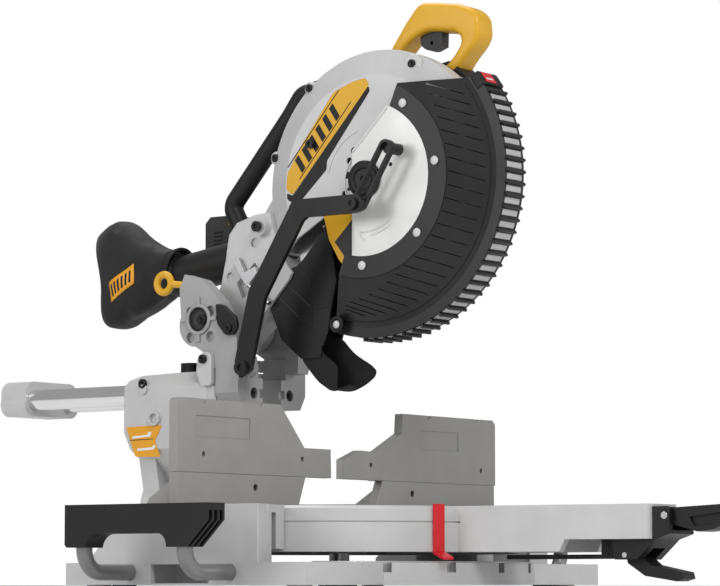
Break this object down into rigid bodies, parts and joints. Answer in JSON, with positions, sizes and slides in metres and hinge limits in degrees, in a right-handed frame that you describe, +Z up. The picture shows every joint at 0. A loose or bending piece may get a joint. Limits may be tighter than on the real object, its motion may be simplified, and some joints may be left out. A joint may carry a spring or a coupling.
{
  "type": "sliding miter saw",
  "caption": "Battery sliding compound miter saw: round miter table with arm, tilting upright, twin slide rails, swinging head with ribbed blade guard, split fence and dust bag.",
  "frame": {"origin": "on the miter axis at bench level, the centre of the four bench bolts", "axes": "+X right along the fence, +Y to the rear along the slide rails, +Z up"},
  "size_m": [0.776, 1.0604, 0.699],
  "materials": {
    "cast": "powder coated cast aluminium",
    "machined": "machined face",
    "fence": "anodised",
    "chrome": "polished hard chrome",
    "steel": "zinc plated",
    "black_steel": "black oxide",
    "black_plastic": "textured moulding",
    "guard_plastic": "smoked satin moulding",
    "yellow_plastic": "satin moulding",
    "red_plastic": "gloss moulding",
    "dark_grey": "satin moulding",
    "rubber": "matt",
    "bag_cloth": "woven polyester",
    "blade_steel": "ground"
  },
  "bodies": {
    "base": {"base_casting": "cast", "miter_detent_ring": "steel", "rubber_feet": "rubber", "base_fasteners": "steel", "carry_tubes": "machined", "carry_grips": "black_plastic", "fence_casting": "fence"},
    "left_fence": {"left_sliding_fence": "fence"},
    "right_fence": {"right_sliding_fence": "fence"},
    "left_fence_clamp": {"left_fence_knob": "black_plastic"},
    "right_fence_clamp": {"right_fence_knob": "black_plastic"},
    "turntable": {"turntable_casting": "cast", "kerf_plates": "black_plastic", "turntable_fasteners": "steel", "scale_pointer": "red_plastic", "latch_housing": "black_plastic"},
    "miter_handle": {"miter_lock_handle": "black_plastic"},
    "miter_rod": {"miter_lock_rod": "black_steel"},
    "detent_lever": {"miter_release_lever": "black_plastic"},
    "bevel_head": {"bevel_housing": "cast", "bevel_pivot_bolt": "steel", "rail_bushings": "machined"},
    "bevel_lever": {"bevel_lock_lever": "black_plastic"},
    "bevel_button": {"bevel_stop_button": "red_plastic"},
    "rail_clamp": {"rail_lock_knob": "black_plastic"},
    "carriage": {"slide_rails": "chrome", "rail_end_cap": "cast", "carriage_screws": "black_steel", "pivot_bracket": "cast", "pivot_shaft": "steel", "torsion_spring": "black_steel"},
    "lock_pin": {"head_lock_pin": "yellow_plastic"},
    "saw_head": {"swing_arm": "cast", "head_screws": "black_steel", "upper_guard": "cast", "guard_hub": "black_steel", "arbor_bearing": "steel", "gear_housing": "cast", "motor_housing": "black_plastic", "handle_halves": "yellow_plastic", "top_carry_handle": "black_plastic", "dust_chute": "black_plastic", "chute_flap": "rubber", "dust_duct": "black_plastic", "dust_bag": "bag_cloth"},
    "depth_stop": {"depth_stop_screw": "steel"},
    "trigger_lever": {"trigger": "dark_grey"},
    "battery": {"battery_pack": "dark_grey"},
    "battery_latch": {"battery_latch_button": "yellow_plastic"},
    "lower_guard": {"lower_guard_shell": "guard_plastic", "guard_cheek": "machined", "guard_rivets": "machined", "slotted_link": "black_steel"},
    "guard_link": {"guard_link_bar": "black_steel", "link_slot_pin": "black_steel"},
    "blade": {"saw_blade": "blade_steel", "blade_clamp": "steel", "arbor_shaft": "steel", "driven_gear": "steel"},
    "motor": {"motor_rotor": "steel"}
  },
  "joints": [
    {"name": "miter_turn", "type": "hinge", "parent": "base", "child": "turntable", "pos_m": [0, 0, 0.06], "axis": [0, 0, 1], "range_deg": [-50, 60]},
    {"name": "left_fence_slide", "type": "slide", "parent": "base", "child": "left_fence", "axis": [1, 0, 0], "range_m": [-0.25, 0]},
    {"name": "right_fence_slide", "type": "slide", "parent": "base", "child": "right_fence", "axis": [1, 0, 0], "range_m": [0, 0.12]},
    {"name": "left_fence_clamp_turn", "type": "hinge", "parent": "base", "child": "left_fence_clamp", "pos_m": [-0.16, 0.03, 0.1175], "axis": [0, 1, 0], "range_deg": [-180, 180]},
    {"name": "right_fence_clamp_turn", "type": "hinge", "parent": "base", "child": "right_fence_clamp", "pos_m": [0.15, 0.03, 0.1175], "axis": [0, 1, 0], "range_deg": [-180, 180]},
    {"name": "miter_handle_lift", "type": "hinge", "parent": "turntable", "child": "miter_handle", "pos_m": [0, -0.463, 0.082], "axis": [-1, 0, 0], "range_deg": [0, 25]},
    {"name": "miter_rod_push", "type": "slide", "parent": "turntable", "child": "miter_rod", "axis": [0, -1, 0], "range_m": [0, 0.005]},
    {"name": "detent_lever_press", "type": "hinge", "parent": "turntable", "child": "detent_lever", "pos_m": [0, -0.412, 0.039], "axis": [1, 0, 0], "range_deg": [0, 12], "stiffness_Nm_per_rad": 2, "springref_deg": -5.73},
    {"name": "bevel_tilt", "type": "hinge", "parent": "turntable", "child": "bevel_head", "pos_m": [0, 0.235, 0.095], "axis": [0, 1, 0], "range_deg": [-45, 45]},
    {"name": "bevel_lever_turn", "type": "hinge", "parent": "bevel_head", "child": "bevel_lever", "pos_m": [0.038, 0.27, 0.095], "axis": [0, 1, 0], "range_deg": [-20, 20]},
    {"name": "bevel_button_press", "type": "slide", "parent": "bevel_head", "child": "bevel_button", "axis": [1, 0, 0], "range_m": [0, 0.004], "stiffness_N_per_m": 300},
    {"name": "rail_clamp_turn", "type": "hinge", "parent": "bevel_head", "child": "rail_clamp", "pos_m": [0, 0.228, 0.27], "axis": [0, 0, 1], "range_deg": [-180, 180]},
    {"name": "carriage_slide", "type": "slide", "parent": "bevel_head", "child": "carriage", "axis": [0, -1, 0], "range_m": [0, 0.17]},
    {"name": "lock_pin_pull", "type": "slide", "parent": "carriage", "child": "lock_pin", "axis": [0, 0.9929, 0.1191], "range_m": [0, 0.012]},
    {"name": "head_swing", "type": "hinge", "parent": "carriage", "child": "saw_head", "pos_m": [0, 0.161, 0.32], "axis": [-1, 0, 0], "range_deg": [-52.5, 0], "stiffness_Nm_per_rad": 22, "springref_deg": 74.48},
    {"name": "depth_stop_turn", "type": "slide", "parent": "saw_head", "child": "depth_stop", "axis": [0, 0.8, 0.6], "range_m": [0, 0.01]},
    {"name": "trigger_squeeze", "type": "slide", "parent": "saw_head", "child": "trigger_lever", "axis": [0, 0, 1], "range_m": [0, 0.0035], "stiffness_N_per_m": 800, "springref_m": -0.001},
    {"name": "battery_release", "type": "slide", "parent": "saw_head", "child": "battery", "axis": [0, 1, 0], "range_m": [0, 0.06]},
    {"name": "battery_latch_press", "type": "slide", "parent": "battery", "child": "battery_latch", "axis": [0, 0, -1], "range_m": [0, 0.0015], "stiffness_N_per_m": 800, "springref_m": -0.001},
    {"name": "guard_turn", "type": "hinge", "parent": "saw_head", "child": "lower_guard", "pos_m": [0, -0.066, 0.482], "axis": [-1, 0, 0], "range_deg": [0, 141.1]},
    {"name": "link_turn", "type": "hinge", "parent": "carriage", "child": "guard_link", "pos_m": [-0.07, 0.089, 0.264], "axis": [-1, 0, 0], "range_deg": [-52.6, 0]},
    {"name": "blade_spin", "type": "hinge", "parent": "saw_head", "child": "blade", "pos_m": [0, -0.066, 0.482], "axis": [1, 0, 0], "continuous": true},
    {"name": "motor_spin", "type": "hinge", "parent": "saw_head", "child": "motor", "pos_m": [0.09, -0.015, 0.505], "axis": [1, 0, 0], "continuous": true}
  ],
  "couplings": [
    {"joint": "guard_turn", "follows": "head_swing", "ratio": -2.6857},
    {"joint": "link_turn", "follows": "head_swing", "ratio": 1},
    {"joint": "miter_rod_push", "follows": "miter_handle_lift", "m_per_rad": 0.01031},
    {"joint": "motor_spin", "follows": "blade_spin", "ratio": -3.6667}
  ]
}
